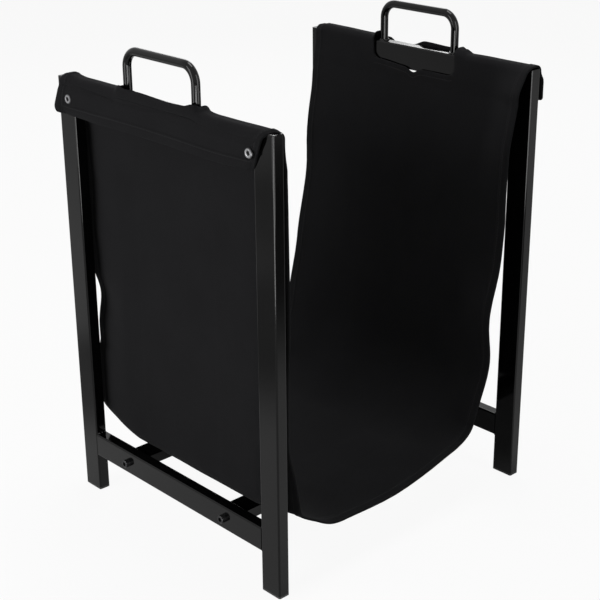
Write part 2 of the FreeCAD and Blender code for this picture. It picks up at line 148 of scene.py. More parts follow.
def weaveGroup():
    # Plain weave: a thread's height is the sine across it, times a wave along it that is half a
    # turn out from one thread to the next; the higher of warp and weft shows. Slow noise moves the threads.
    tree, given, made = newGroup(
        "plainWeave",
        [("Vector", "NodeSocketVector", None), ("Threads", "NodeSocketFloat", 1100.0)],
        [("Height", "NodeSocketFloat", None)])
    drift = setInputs(addNode(tree, "ShaderNodeTexNoise"), {"Scale": 60, "Detail": 2})
    tree.links.new(given.outputs["Vector"], drift.inputs["Vector"])
    wobble = math2(tree, "MULTIPLY", math2(tree, "SUBTRACT", drift.outputs["Fac"], 0.5), 0.9)
    split = addNode(tree, "ShaderNodeSeparateXYZ")
    tree.links.new(given.outputs["Vector"], split.inputs[0])
    along = [math2(tree, "ADD", math2(tree, "MULTIPLY", split.outputs[i], given.outputs["Threads"]), wobble)
             for i in (0, 1)]
    heights = []
    for a, b, turn in ((along[0], along[1], 0.0), (along[1], along[0], 1.0)):
        across = math2(tree, "ABSOLUTE", math2(tree, "SINE", math2(tree, "MULTIPLY", a, math.pi)))
        phase = math2(tree, "ADD", math2(tree, "ADD", b, math2(tree, "FLOOR", a)), turn)
        wave = math2(tree, "COSINE", math2(tree, "MULTIPLY", phase, math.pi))
        over = math2(tree, "ADD", math2(tree, "MULTIPLY", wave, 0.5), 0.5)
        heights.append(math2(tree, "MULTIPLY", across, over))
    tree.links.new(math2(tree, "MAXIMUM", *heights), made.inputs["Height"])
    return tree


def mottleGroup():
    # Two noises of different size, mixed evenly, stretched to the range 0 to 1.
    tree, given, made = newGroup(
        "mottle",
        [("Vector", "NodeSocketVector", None), ("Coarse", "NodeSocketFloat", 20.0),
         ("Fine", "NodeSocketFloat", 300.0)],
        [("Value", "NodeSocketFloat", None)])
    noises = []
    for key in ("Coarse", "Fine"):
        noise = setInputs(addNode(tree, "ShaderNodeTexNoise"), {"Detail": 3})
        tree.links.new(given.outputs["Vector"], noise.inputs["Vector"])
        tree.links.new(given.outputs[key], noise.inputs["Scale"])
        noises.append(noise.outputs["Fac"])
    half = math2(tree, "MULTIPLY", math2(tree, "ADD", *noises), 0.5)
    stretch = setInputs(addNode(tree, "ShaderNodeMapRange"), {"From Min": 0.33, "From Max": 0.67})
    tree.links.new(half, stretch.inputs["Value"])
    tree.links.new(stretch.outputs[0], made.inputs["Value"])
    return tree


weave = weaveGroup()
mottle = mottleGroup()


def useGroup(tree, group, coords, values):
    # a node group on the given coordinates
    node = tree.nodes.new("ShaderNodeGroup")
    node.node_tree = group
    tree.links.new(coords, node.inputs["Vector"])
    return setInputs(node, values).outputs[0]


def dress(tree, shader, tone, patches, finish):
    # colour from dark to light by the tone, roughness by the patches, plain values on their own sockets
    tree.links.new(ramp(tree, tone, finish["dark"], finish["light"]), shader.inputs["Base Color"])
    tree.links.new(span(tree, patches, *finish["rough"]), shader.inputs["Roughness"])
    setInputs(shader, finish["plain"])


def bumpTo(tree, shader, height, strength, distance):
    bump = setInputs(addNode(tree, "ShaderNodeBump"), {"Strength": strength, "Distance": distance})
    tree.links.new(height, bump.inputs["Height"])
    tree.links.new(bump.outputs[0], shader.inputs["Normal"])


# In each finish, "grain" or "cloud" is the mottle's scale, "bump" its strength and its depth in metres
paint = {"dark": (0.0018, 0.0018, 0.0019), "light": (0.0034, 0.0034, 0.0035), "rough": (0.06, 0.11),
         "plain": {"Specular IOR Level": 0.20}, "cloud": {"Coarse": 14.0, "Fine": 900.0},
         "peel": {"Scale": 420, "Detail": 1}, "bump": (0.03, 0.0004)}


def paintMaterial():
    # Gloss powder coat: orange peel bump, colour and roughness in soft patches
    material, tree, shader = newMaterial("glossBlackCoat")
    coords = addNode(tree, "ShaderNodeTexCoord").outputs["Object"]
    patches = useGroup(tree, mottle, coords, paint["cloud"])
    peel = setInputs(addNode(tree, "ShaderNodeTexNoise"), paint["peel"])
    tree.links.new(coords, peel.inputs["Vector"])
    dress(tree, shader, patches, patches, paint)
    bumpTo(tree, shader, peel.outputs["Fac"], *paint["bump"])
    return material


# Press studs: "place" is the axis in Y and Z, "dimple" and "rim" are distances from it, all in metres; the
# tone kept at the rim is painted shade
stud = {"place": (0.158, 0.516), "dimple": (0.0018, 0.0034), "rim": (0.0052, 0.0041), "rimShadeTone": 0.25,
        "stains": (0.75, 1.0), "dark": (0.012, 0.012, 0.012), "light": (0.40, 0.40, 0.41),
        "rough": (0.25, 0.42), "plain": {"Metallic": 1.0}, "grain": {"Coarse": 260.0, "Fine": 2600.0},
        "bump": (0.6, 0.0008)}


def studMaterial():
    # Plated press stud: bright ring between a dark dimple and a rim dimmed by painted shade, by the distance
    # from its axis
    material, tree, shader = newMaterial("gunmetalStud")
    coords = addNode(tree, "ShaderNodeTexCoord").outputs["Object"]
    patches = useGroup(tree, mottle, coords, stud["grain"])
    split = addNode(tree, "ShaderNodeSeparateXYZ")
    tree.links.new(coords, split.inputs[0])
    across = math2(tree, "SUBTRACT", math2(tree, "ABSOLUTE", split.outputs[1]), stud["place"][0])
    up = math2(tree, "SUBTRACT", split.outputs[2], stud["place"][1])
    squares = [math2(tree, "MULTIPLY", side, side) for side in (across, up)]
    reach = math2(tree, "SQRT", math2(tree, "ADD", *squares))
    ring = softStep(tree, reach, *stud["dimple"])
    # painted shade: past the rim distance the tone falls to a quarter, for the shaded side of the rounded rim
    rim = softStep(tree, reach, *stud["rim"], low=stud["rimShadeTone"])
    bright = math2(tree, "MULTIPLY", math2(tree, "MULTIPLY", ring, rim), span(tree, patches, *stud["stains"]))
    dress(tree, shader, bright, patches, stud)
    bumpTo(tree, shader, ring, *stud["bump"])
    return material


canvas = {"dark": (0.0100, 0.0100, 0.0107), "light": (0.0190, 0.0190, 0.0202), "rough": (0.82, 0.95),
          "plain": {"Sheen Weight": 0.012, "Sheen Roughness": 0.5, "Specular IOR Level": 0.03},
          "threads": {"Threads": 1100.0}, "cloud": {"Coarse": 16.0, "Fine": 420.0},
          "share": (0.45, 0.55), "bump": (0.35, 0.0004)}


def canvasMaterial():
    # Heavy plain-weave canvas on the sheet's own UV map, in metres: shares of threads and of cloudy patches
    material, tree, shader = newMaterial("blackCanvas")
    coords = addNode(tree, "ShaderNodeUVMap", uv_map="sheetUv").outputs[0]
    threads = useGroup(tree, weave, coords, canvas["threads"])
    cloud = useGroup(tree, mottle, coords, canvas["cloud"])
    parts = [math2(tree, "MULTIPLY", value, share) for value, share in zip((threads, cloud), canvas["share"])]
    dress(tree, shader, math2(tree, "ADD", *parts, clamp=True), cloud, canvas)
    bumpTo(tree, shader, threads, *canvas["bump"])
    return material


bolt = {"dark": (0.02, 0.02, 0.02), "light": (0.05, 0.05, 0.052), "rough": (0.3, 0.48),
        "plain": {"Metallic": 0.9}, "grain": {"Coarse": 260.0, "Fine": 2600.0}, "bump": (0.08, 0.0002)}
plug = {"dark": (0.28, 0.28, 0.28), "light": (0.42, 0.42, 0.43), "rough": (0.3, 0.5),
        "plain": {"Metallic": 1.0}, "grain": {"Coarse": 260.0, "Fine": 2600.0}, "bump": (0.08, 0.0002)}
foot = {"dark": (0.008, 0.008, 0.008), "light": (0.013, 0.013, 0.013), "rough": (0.42, 0.6),
        "plain": {}, "grain": {"Coarse": 400.0, "Fine": 1800.0}, "bump": (0.2, 0.0002)}
thread = {"dark": (0.012, 0.012, 0.0125), "light": (0.028, 0.028, 0.029), "rough": (0.55, 0.75),
          "plain": {"Specular IOR Level": 0.15}, "grain": {"Coarse": 700.0, "Fine": 2400.0},
          "bump": (0.3, 0.0002)}


def grainMaterial(name, finish):
    # One mottled grain for colour, roughness and bump: stained metal, moulded plastic or spun thread
    material, tree, shader = newMaterial(name)
    coords = addNode(tree, "ShaderNodeTexCoord").outputs["Object"]
    grain = useGroup(tree, mottle, coords, finish["grain"])
    dress(tree, shader, grain, grain, finish)
    bumpTo(tree, shader, grain, *finish["bump"])
    return material


materials = {
    "black_paint": paintMaterial(),
    "canvas": canvasMaterial(),
    "bolt_steel": grainMaterial("blackOxideBolt", bolt),
    "plug_steel": grainMaterial("plainSteelPlug", plug),
    "stud_metal": studMaterial(),
    "foot_plastic": grainMaterial("mouldedFoot", foot),
    "thread": grainMaterial("blackThread", thread),
}
slotOf = {item["node"]: item["material_slot"] for item in frame["record"]["subparts"]}
for name, obj in nodes.items():
    obj.data.materials.clear()
    obj.data.materials.append(materials[slotOf[name]])
print("materials made:", len(materials))


# Shape helpers
def smooth(t):
    # smoothstep: 3 t squared less 2 t cubed, held at 0 and 1
    t = np.clip(t, 0, 1)
    return t * t * (3 - 2 * t)


def bell(x, middle, width):
    # bell curve: e to the minus square of the distance over the width
    return np.exp(-((x - middle) / width) ** 2)


def band(x, low, rise, high, fall):
    # smooth step up from low over rise, times a smooth step down that ends at high
    return smooth((x - low) / rise) * smooth((high - x) / fall)


def swells(x, shape):
    # Sum of a level, sine waves (amount, length, start, and the length of a wave that shifts it), humps
    # (amount, middle, width), steps (amount, start, reach) and bands (amount, low, rise, high, fall),
    # the whole kept within one band. A step with a negative reach grows towards lower x.
    waves, humps, steps, bands = (shape.get(key, ()) for key in ("waves", "humps", "steps", "bands"))
    total = shape.get("level", 0)
    total = total + sum(amount * np.sin(x / size + start + sum(np.sin(x / shift) for shift in shifts))
                        for amount, size, start, *shifts in waves)
    total = total + sum(amount * bell(x, *place) for amount, *place in humps)
    total = total + sum(amount * smooth((x - start) / reach) for amount, start, reach in steps)
    total = total + sum(amount * band(x, *place) for amount, *place in bands)
    return total * band(x, *shape["within"]) if "within" in shape else total


# Mesh helpers
def newPiece(name, points, faces, slot, uv=None):
    # points in millimetres; unused points are dropped
    used, index = np.unique(faces, return_inverse=True)
    faces = index.reshape(faces.shape)
    points = points[used] * mm
    mesh = bpy.data.meshes.new(name)
    count, corners = faces.shape
    mesh.vertices.add(len(points))
    mesh.vertices.foreach_set("co", points.astype(np.float32).ravel())
    mesh.loops.add(count * corners)
    mesh.loops.foreach_set("vertex_index", faces.astype(np.int32).ravel())
    mesh.polygons.add(count)
    mesh.polygons.foreach_set("loop_start", np.arange(0, count * corners, corners, dtype=np.int32))
    mesh.polygons.foreach_set("use_smooth", np.ones(count, bool))
    mesh.update(calc_edges=True)
    if uv is not None:
        layer = mesh.uv_layers.new(name="sheetUv")
        layer.data.foreach_set("uv", (uv[used] * mm)[faces.ravel()].astype(np.float32).ravel())
    mesh.validate()
    mesh.materials.append(materials[slot])
    obj = bpy.data.objects.new(name, mesh)
    scene.collection.objects.link(obj)
    return obj


def joined(name, parts, slot):
    # one piece from several meshes, each its points and its faces
    points, faces = zip(*parts)
    starts = np.cumsum([0] + [len(part) for part in points[:-1]])
    return newPiece(name, np.concatenate(points),
                    np.concatenate([part + start for part, start in zip(faces, starts)]), slot)


def tubeFaces(rings, sides, looped=False):
    # Quads of a tube of rings: closed by a fan of quads over each end, or the last ring joined to the first
    i, j = np.meshgrid(np.arange(rings if looped else rings - 1), np.arange(sides), indexing="ij")
    this, after, beside = i * sides, (i + 1) % rings * sides, (j + 1) % sides
    walls = np.stack([this + j, this + beside, after + beside, after + j], -1).reshape(-1, 4)
    if looped:
        return walls
    fan = np.array([(0, k, k + 1, k + 2) for k in range(1, sides - 2, 2)])
    return np.concatenate([walls, fan[:, ::-1], fan + (rings - 1) * sides])


def filletPath(corners, bends, lines, arcs, columns):
    # Straight runs joined by tangent arcs. A corner's arc starts bend times the tangent of half the
    # turn before it; a point on it is start + bend (sin a along the run + (1 - cos a) to its inside).
    # lines holds each run's sample fractions, arcs each arc's sample count.
    points = np.stack([np.stack([np.broadcast_to(size, columns) for size in corner], -1)
                       for corner in corners])
    runs = np.diff(points, axis=0)
    runs = runs / np.linalg.norm(runs, axis=-1, keepdims=True)
    parts, last = [], points[0]
    for i, bend in enumerate(bends):
        bend = np.broadcast_to(bend, columns)[:, None]
        before, after, corner = runs[i], runs[i + 1], points[i + 1]
        cross = before[:, 0] * after[:, 1] - before[:, 1] * after[:, 0]
        turn = np.arctan2(np.abs(cross), (before * after).sum(-1))[:, None]
        inside = np.sign(cross)[:, None] * np.stack([-before[:, 1], before[:, 0]], -1)
        reach = bend * np.tan(turn / 2)
        start, end = corner - before * reach, corner + after * reach
        parts.append(last + (start - last) * lines[i][:, None, None])
        a = turn * np.linspace(0, 1, arcs[i], endpoint=False)[:, None, None]
        parts.append(start + bend * (np.sin(a) * before + (1 - np.cos(a)) * inside))
        last = end
    parts.append(last + (points[-1] - last) * lines[-1][:, None, None])
    return np.concatenate(parts), np.cumsum([0] + [len(part) for part in parts])


def clothNormal(centre):
    # unit normal of the middle surface
    normal = np.cross(np.gradient(centre, axis=0), np.gradient(centre, axis=1))
    return normal / np.linalg.norm(normal, axis=-1, keepdims=True)


def clothSheet(name, centre, half, uv, kept=None):
    # Both faces of a cloth, half a thickness off its middle, and a rim along each open edge of the kept cells
    rows, columns = centre.shape[:2]
    offset = clothNormal(centre) * half[..., None]
    points = np.concatenate([(centre + offset).reshape(-1, 3), (centre - offset).reshape(-1, 3)])
    top = np.arange(rows * columns).reshape(rows, columns)
    low = top + rows * columns
    if kept is None:
        kept = np.ones((rows - 1, columns - 1), bool)
    corners = [top[:-1, :-1], top[1:, :-1], top[1:, 1:], top[:-1, 1:]]
    faces = [np.stack([c[kept] for c in corners], -1),
             np.stack([c[kept] + rows * columns for c in corners[::-1]], -1)]
    fenced = np.pad(kept, 1)
    rowEdges, columnEdges = (fenced[:-1, 1:-1], fenced[1:, 1:-1]), (fenced[1:-1, :-1], fenced[1:-1, 1:])
    rowRim = np.stack([top[:, :-1], top[:, 1:], low[:, 1:], low[:, :-1]], -1)
    columnRim = np.stack([top[:-1], low[:-1], low[1:], top[1:]], -1)
    for (before, after), rim in ((rowEdges, rowRim), (columnEdges, columnRim)):
        faces += [rim[after & ~before], rim[before & ~after][:, ::-1]]
    flatUv = uv.reshape(-1, 2)
    return newPiece(name, points, np.concatenate(faces), "canvas", np.concatenate([flatUv, flatUv]))


# Canvas sling: one strip of cloth from the left flap over both rails to the right flap, in millimetres.
# The two low corners and two floor points have X, Z and bend, each of these over the stretchers, at the
# near end and at the far end. Bow and lean are X, Z and bend of two more corners of the right panel.
sling = {
    "halfWidth": 181.0, "shift": -4.5,
    "wall": 194.9, "panelTop": 496.0, "saddle": 203.0, "outer": 214.1, "crownBend": 7.0, "join": 533.4,
    "flapHang": 217.5, "flapTop": 524.0, "flapBend": 16.0,
    "floorReach": 108.0, "sag": 0.8,
    "leftLow": ((-194.9, -193.0, -189.0), (73.8, 102.0, 113.4), (39.0, 48.0, 36.0)),
    "floorA": ((-110.0, -127.0, -140.0), (73.7, 60.5, 48.0), (260.0, 60.0, 60.0)),
    "floorB": ((0.0, -10.0, -12.0), (73.7, 56.6, 55.0), (260.0, 400.0, 400.0)),
    "rightLow": ((145.9, 146.0, 141.0), (73.8, 94.2, 93.0), (100.0, 90.0, 108.0)),
    "bow": (170.9, 390.0, 300.0), "lean": (194.9, 496.0, 40.0),
    "cloth": 0.8, "hem": 1.5, "hemWidth": 12.0, "stitchLine": 9.5, "dent": 0.35,
    "ripple": 0.16, "uneven": 0.35, "slow": {"left": 1.0, "right": 1.2},
}
# Handle windows: half the length, the sill's corners, how far the lip stands up and leans out, how that
# starts at the ends (distance before them, reach), and the hem below the sill
window = {"half": 68.5, "corner": 10.0, "standing": 8.5, "lean": 1.0, "ease": (4.5, 10.0), "hem": 6.5}

# Heights along each rail, as swells of Y: the saddle's crown with humps beside the handle's feet and
# drooping ends, the flap's lower edge, the window's sagging sill and its lip, which has fallen back in
# one place on the right.
railLines = {
    "left": {
        "crown": {"level": 540.4, "waves": ((0.5, 37, 1),),
                  "humps": ((2.0, -70, 6), (1.0, 72, 7), (2.6, 169, 15)),
                  "steps": ((-0.8, -78, -15), (-2.2, -175, -11), (-1.4, 168, 9))},
        "flapEdge": {"level": 497.0, "waves": ((0.9, 44, 1),), "steps": ((1.8, 156, 20),)},
        "sill": {"level": 510.0, "humps": ((-1.5, 0, 30),)},
        "lip": {"level": 545.0, "waves": ((0.8, 17, 0),), "steps": ((3.0, 52, 12), (3.0, -52, -12))},
    },
    "right": {
        "crown": {"level": 542.4, "waves": ((0.6, 31, 0),), "humps": ((2.6, -74, 6), (0.8, 70, 7)),
                  "steps": ((2.0, 60, 100), (-1.9, -76, -10), (-2.5, 160, 14))},
        "flapEdge": {"level": 497.0, "waves": ((1.2, 50, 0),), "humps": ((4.5, 20, 45),)},
        "sill": {"level": 512.0, "humps": ((-5.5, 0, 8.5),), "steps": ((3.5, 10, 50),)},
        "lip": {"level": 542.2, "waves": ((0.5, 11, 2),), "steps": ((-2.6, 30, 15),),
                "bands": ((-6.0, -1, 22, 60, 14),)},
    },
}


def clothColumns():
    # Distances across the cloth: close together round the rolled edge and the hem's stitch line
    edge = np.array([0, 0.12, 0.45, 0.95, 1.5, 3, 5.5, 7.8, 8.8, 9.5, 10.2, 11.2, 12.0, 12.8, 14.5, 17])
    middle = np.linspace(20, 2 * sling["halfWidth"] - 20, 98)
    return np.concatenate([edge, middle, 2 * sling["halfWidth"] - edge[::-1]]) - sling["halfWidth"]


def hemThickness(distance):
    # Half thickness by the distance from the edge: a quarter circle at the rolled edge, the doubled
    # hem with a dent at its stitch line, and a step down to one layer.
    hem, cloth = sling["hem"], sling["cloth"]
    rolled = np.sqrt(np.clip(1 - (1 - np.clip(distance / hem, 0, 1)) ** 2, 0.004, 1))
    step = smooth((distance - sling["hemWidth"] + 0.8) / 1.6)
    return (hem + (cloth - hem) * step) * rolled - sling["dent"] * bell(distance, sling["stitchLine"], 0.6)


def stripProfile(y):
    # The strip's line at each y, in X and Z: flap, saddle, left panel, floor, right panel, saddle, flap.
    # The floor lies level over the stretchers and droops outside them. Inside the handle windows the
    # outer cloth stands up beside the handle.
    s, world = sling, y + sling["shift"]
    past = (np.abs(y) - s["floorReach"]) / (s["halfWidth"] - s["floorReach"])
    droop = 0.4 * smooth(past) + 0.6 * np.clip(past, 0, 1.1)  # partly eased, partly straight

    def spot(key):
        return [level + (np.where(y < 0, near, far) - level) * droop for level, near, far in s[key]]

    leftLow, floorA, floorB, rightLow = (spot(key) for key in ("leftLow", "floorA", "floorB", "rightLow"))
    sag = s["sag"] * smooth((75 - np.abs(y)) / 60)
    before, reach = window["ease"]
    stands = smooth((window["half"] + before - np.abs(world)) / reach)
    outer = s["outer"] + window["lean"] * stands
    lip = window["standing"] * stands
    leftTop, rightTop = (swells(world, railLines[side]["crown"]) + lip for side in signOf)
    leftEdge, rightEdge = (swells(world, railLines[side]["flapEdge"]) for side in signOf)
    corners = [
        (-s["flapHang"], leftEdge), (-s["flapHang"], s["flapTop"]), (-outer, leftTop), (-s["wall"], leftTop),
        (-s["wall"], s["panelTop"]), leftLow[:2], (floorA[0], floorA[1] - sag), (floorB[0], floorB[1] - sag),
        rightLow[:2], s["bow"][:2], s["lean"][:2], (s["wall"], rightTop), (outer, rightTop),
        (s["flapHang"], s["flapTop"]), (s["flapHang"], rightEdge)]
    bends = [s["flapBend"], s["crownBend"], s["crownBend"], 0, leftLow[2], floorA[2], floorB[2], rightLow[2],
             s["bow"][2], s["lean"][2], s["crownBend"], s["crownBend"], s["flapBend"]]
    # rows close together at the flaps' rolled edges, in parts of the flap's run, and even ones elsewhere
    rolled = np.array([0, 0.12, 0.45, 0.95, 1.5, 2.6, 4, 5.5, 7, 8.2, 8.9, 9.5, 10.1, 10.8, 11.6, 12.4,
                       13.4, 15, 17, 19.5, 22]) / 25
    evenRows = [np.linspace(0, 1, rows, endpoint=False)
                for rows in (12, 5, 22, 60, 7, 15, 11, 32, 12, 20, 5, 12)]
    arcs = [4, 8, 8, 0, 16, 5, 5, 16, 10, 6, 8, 8, 4]
    return filletPath(corners, bends, [rolled, *evenRows, 1 - rolled[::-1]], arcs, len(y))


# How far each panel's edge moves towards the middle, as swells of Z; "edge" is the step across the cloth
curls = {
    "leftNear": {"edge": (-125, -50), "bands": ((3.0, 215, 110, 522, 28), (12.0, 82, 28, 188, 68))},
    "leftFar": {"edge": (105, 74), "level": 7.8, "waves": ((0.7, 12.5, 0.6, 45), (0.9, 31, 0)),
                "humps": ((4.3, 264, 24),), "steps": ((-1.3, 276, 12), (-3.8, 201, -16)),
                "within": (75, 60, 512, 40)},
    "rightNear": {"edge": (-108, -70), "humps": ((18.5, 238, 54), (14.5, 131, 40), (5.0, 350, 55))},
    "rightFar": {"edge": (88, 88), "humps": ((-9.0, 350, 58), (4.0, 492, 24)), "steps": ((10.0, 256, -100),)},
    "rightTop": {"edge": (-118, -62), "bands": ((20.5, 345, 120, 550, 44),)},
}


def hang(grid, y):
    # How the panels hang: both edges of the left one curl inwards; the right one's near edge curls in at
    # the top, half way and low down, its far edge bows out and in. Slow waves on both: a sine along the
    # panel times a sine across it.
    x, z = grid[..., 0].copy(), grid[..., 2].copy()
    slow = np.sin(z / 58 + y / 90) * np.sin(y / 71 + 0.7) * smooth((500 - z) / 60)
    inwards = {}
    for key, curl in curls.items():
        start, reach = curl["edge"]
        inwards[key] = smooth((y - start) / reach) * swells(z, curl)
    onLeft = smooth((-x - 150) / 30) * smooth((z - 60) / 60)
    grid[..., 0] += onLeft * (inwards["leftNear"] + inwards["leftFar"] + sling["slow"]["left"] * slow)
    onTop = (x > 0) * smooth((sling["saddle"] - x) / 9)
    onRight = smooth((x - 95) / 35) * band(z, 75, 40, 528, 24)
    grid[..., 0] -= onTop * inwards["rightTop"]
    grid[..., 0] -= onRight * (inwards["rightNear"] + inwards["rightFar"] + sling["slow"]["right"] * slow)
    return grid


# Ends of the flaps: the near end's slant and set-back, the far end's slant, the radii of the lower corners,
# how far the far corner flares out and how far the near end is tucked in. The slant starts at "top", and
# a flap hangs down by "drop". "drawn" and "crease" are the left saddle's.
flapEnds = {
    "top": 543.2, "drop": 47.0, "belly": 1.6, "drawn": 2.0, "crease": 0.7,
    "left": {"slant": 0.46, "back": 6.0, "widen": 0.17, "nearRound": 4.0, "farRound": 9.0,
             "flare": 0.13, "tuck": 2.6},
    "right": {"slant": 0.0, "back": 0.0, "widen": -0.12, "nearRound": 4.0, "farRound": 4.0,
              "flare": 0.0, "tuck": -3.8},
}


def rounded(t, r):
    # how far a corner is cut back at t from its end: r - root(r squared - (r - t) squared)
    return r - np.sqrt(r * r - (r - np.clip(t, 0, r)) ** 2)


def slantFlaps(grid, y):
    # The flaps' ends slant by a share of the drop below the saddle, their lower corners are rounded, the
    # near ends are tucked in or stand off, the left far corner flares out by the square of the drop, and
    # the middle has a little belly.
    z, world = grid[..., 2], grid[..., 1].copy()
    nearShare, farShare = (np.clip(end * y / sling["halfWidth"], 0, 1) ** 3 for end in (-1, 1))
    for side, sign in signOf.items():
        ends = flapEnds[side]
        outside = sign * grid[..., 0] > sling["saddle"]
        fromEdge = np.abs(z - z[0 if side == "left" else -1])
        down = np.clip(flapEnds["top"] - z, 0, 60) * outside
        near = ends["slant"] * down + ends["back"] * smooth(down / 10) + rounded(fromEdge, ends["nearRound"])
        far = ends["widen"] * down - rounded(fromEdge, ends["farRound"])
        grid[..., 1] += np.where(outside, nearShare * near + farShare * far, 0)
        flare = ends["flare"] * down ** 2 / flapEnds["drop"] * smooth((world - 162) / 14)
        tuck = ends["tuck"] * smooth((-y - 164) / 15) * smooth((532 - z) / 12)
        belly = flapEnds["belly"] * smooth((145 - np.abs(world)) / 60) * smooth((520 - z) / 22)
        grid[..., 0] += np.where(outside, sign * (flare - tuck + belly), 0)
    # the far end of the left saddle is drawn in
    grid[..., 1] -= farShare * (grid[..., 0] < 0) * flapEnds["drawn"] * smooth((z - 500) / 30)
    # a soft crease below the left lip, bowed down between the handle's feet
    crease = 534 - 5 * bell(world, 52, 62)
    onLip = (grid[..., 0] < -205) * band(world, -75, 30, 165, 30)
    grid[..., 0] += flapEnds["crease"] * bell(z, crease, 1.3) * onLip
    return grid


def pucker(grid, y, run):
    # Ripples of the sewn hems: two waves along the edge, dying out over 14 mm inside the stitch line,
    # and a little unevenness of the whole cloth, from products of sines along it and across it.
    inside = np.clip(sling["halfWidth"] - np.abs(y) - sling["stitchLine"], -10, 60)
    fade = np.exp(-np.abs(inside) / 14)
    short = np.sin(run / 3.1 + 2 * np.sin(run / 47)) * (0.6 + 0.4 * np.sin(run / 23 + y / 60))
    wave = short + 0.8 * np.sin(run / 9.3 + 1)
    uneven = (np.sin(run / 41 + y / 33) * np.sin(run / 67 - y / 45 + 1)
              + 0.5 * np.sin(run / 17 - y / 29) * np.sin(run / 53 + y / 13))
    return grid + clothNormal(grid) * (sling["ripple"] * fade * wave + sling["uneven"] * uneven)[..., None]


columnY = clothColumns()
profile, counts = stripProfile(columnY)
worldY = np.broadcast_to(columnY + sling["shift"], profile.shape[:2])
grid = np.stack([profile[..., 0], worldY, profile[..., 1]], -1)
steps = np.linalg.norm(np.diff(grid, axis=0), axis=-1)
length = np.concatenate([np.zeros((1, len(columnY))), np.cumsum(steps, axis=0)])
grid = pucker(slantFlaps(hang(grid, columnY), columnY), columnY, length)
# rows where the flaps join the sling, and where each panel's upper run begins and ends
midHeights = profile[:, len(columnY) // 2, 1]
leftJoin = int(np.argmax(midHeights > sling["join"]))
rightJoin = len(profile) - 1 - int(np.argmax(midHeights[::-1] > sling["join"]))
panelRows = {"left": (counts[6], counts[9]), "right": (counts[21] - 1, counts[19])}
print("cloth strip", grid.shape, "length", round(float(length[-1].mean()), 1), "mm")


def windowCut(side, centre, run):
    # Opening in the saddle: between the standing lip outside and the sill inside, and between its two
    # ends. Signed distance in the cloth: the larger of the two overshoots, rounded at the sill's corners.
    # The points along the cut are moved onto its line, down the slope of that distance.
    world, corner = centre[..., 1], window["corner"]
    along = run - run[0] if side == "left" else run[-1] - run
    joinZ = profile[leftJoin if side == "left" else rightJoin, :, 1]
    inner = panelRows[side][0]
    innerAlong, innerZ = along[inner - leftJoin], profile[inner, :, 1]

    def distance(along, world):
        lip, sill = (swells(world, railLines[side][key]) for key in ("lip", "sill"))
        across = np.abs(world) - window["half"] + corner
        down = along - (innerAlong + innerZ - sill) + corner
        box = np.where((across > 0) & (down > 0), np.hypot(across, down), np.maximum(across, down)) - corner
        return np.maximum(box, lip - joinZ - along)

    gap = distance(along, world)
    gone = (gap[:-1, :-1] + gap[1:, :-1] + gap[1:, 1:] + gap[:-1, 1:]) / 4 < 0
    touches = np.zeros((2,) + gap.shape, bool)
    for kind, cells in enumerate((gone, ~gone)):
        for i in (slice(0, -1), slice(1, None)):
            for j in (slice(0, -1), slice(1, None)):
                touches[kind][i, j] |= cells
    rim = touches[0] & touches[1] & (np.sign(centre[..., 0]) == signOf[side])
    alongStep = np.gradient(centre, axis=0) / np.gradient(along, axis=0)[..., None]
    acrossStep = np.gradient(centre, axis=1) / np.gradient(world, axis=1)[..., None]
    small = 0.01
    for _ in range(2):
        gap = distance(along, world)
        slopeA, slopeY = distance(along + small, world) - gap, distance(along, world + small) - gap
        size = np.hypot(slopeA, slopeY) + 1e-9
        moveA, moveY = (np.where(rim, -gap * slope / size, 0) for slope in (slopeA, slopeY))
        centre = centre + alongStep * moveA[..., None] + acrossStep * moveY[..., None]
        along, world = along + moveA, world + moveY
    return centre, ~gone


def makeSling():
    part = slice(leftJoin, rightJoin + 1)
    centre, run = grid[part].copy(), length[part]
    across = np.broadcast_to(columnY, run.shape)
    half = hemThickness(sling["halfWidth"] - np.abs(across))
    kept = np.ones((len(run) - 1, len(columnY) - 1), bool)
    leftHalf = np.arange(len(kept))[:, None] < len(kept) // 2
    for side, otherHalf in (("left", ~leftHalf), ("right", leftHalf)):
        centre, clear = windowCut(side, centre, run)
        kept &= clear | otherHalf
    obj = clothSheet("sling_cloth", centre, half, np.stack([run, across], -1), kept)
    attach(obj, "sling")
    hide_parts("sling", "left_fold", "right_fold")
    return obj


def makeFlap(side):
    part = slice(0, leftJoin + 1) if side == "left" else slice(rightJoin, None)
    run, sign = length[part], signOf[side]
    across = np.broadcast_to(columnY, run.shape)
    fromEnd = run - run[:1] if side == "left" else run[-1:] - run
    half = hemThickness(np.minimum(sling["halfWidth"] - np.abs(across), fromEnd))
    obj = clothSheet(side + "_flap_cloth", grid[part], half, np.stack([run, across], -1))
    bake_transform(obj)
    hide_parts(side + "_flap")
    return obj


slingObj = makeSling()
flapObjs = {side: makeFlap(side) for side in signOf}


def onCloth(run, across):
    # Points of the middle surface and its normals at lengths run along the strip and across it
    j = np.clip(np.searchsorted(columnY, across) - 1, 0, len(columnY) - 2)
    share = (across - columnY[j]) / (columnY[j + 1] - columnY[j])
    places = []
    for field in (grid, clothNormal(grid)):
        edges = []
        for k in (j, j + 1):
            i = np.clip((length[:, k] < run).sum(axis=0) - 1, 0, len(length) - 2)
            t = (run - length[i, k]) / (length[i + 1, k] - length[i, k])
            edges.append(field[i, k] + (field[i + 1, k] - field[i, k]) * t[:, None])
        places.append(edges[0] + (edges[1] - edges[0]) * share[:, None])
    return places


# Stitches, in millimetres, and half the length of the line below a window
stitch = {"pitch": 3.4, "length": 2.5, "width": 0.42, "height": 0.34, "sunk": 0.05, "sillHalf": 66.0}


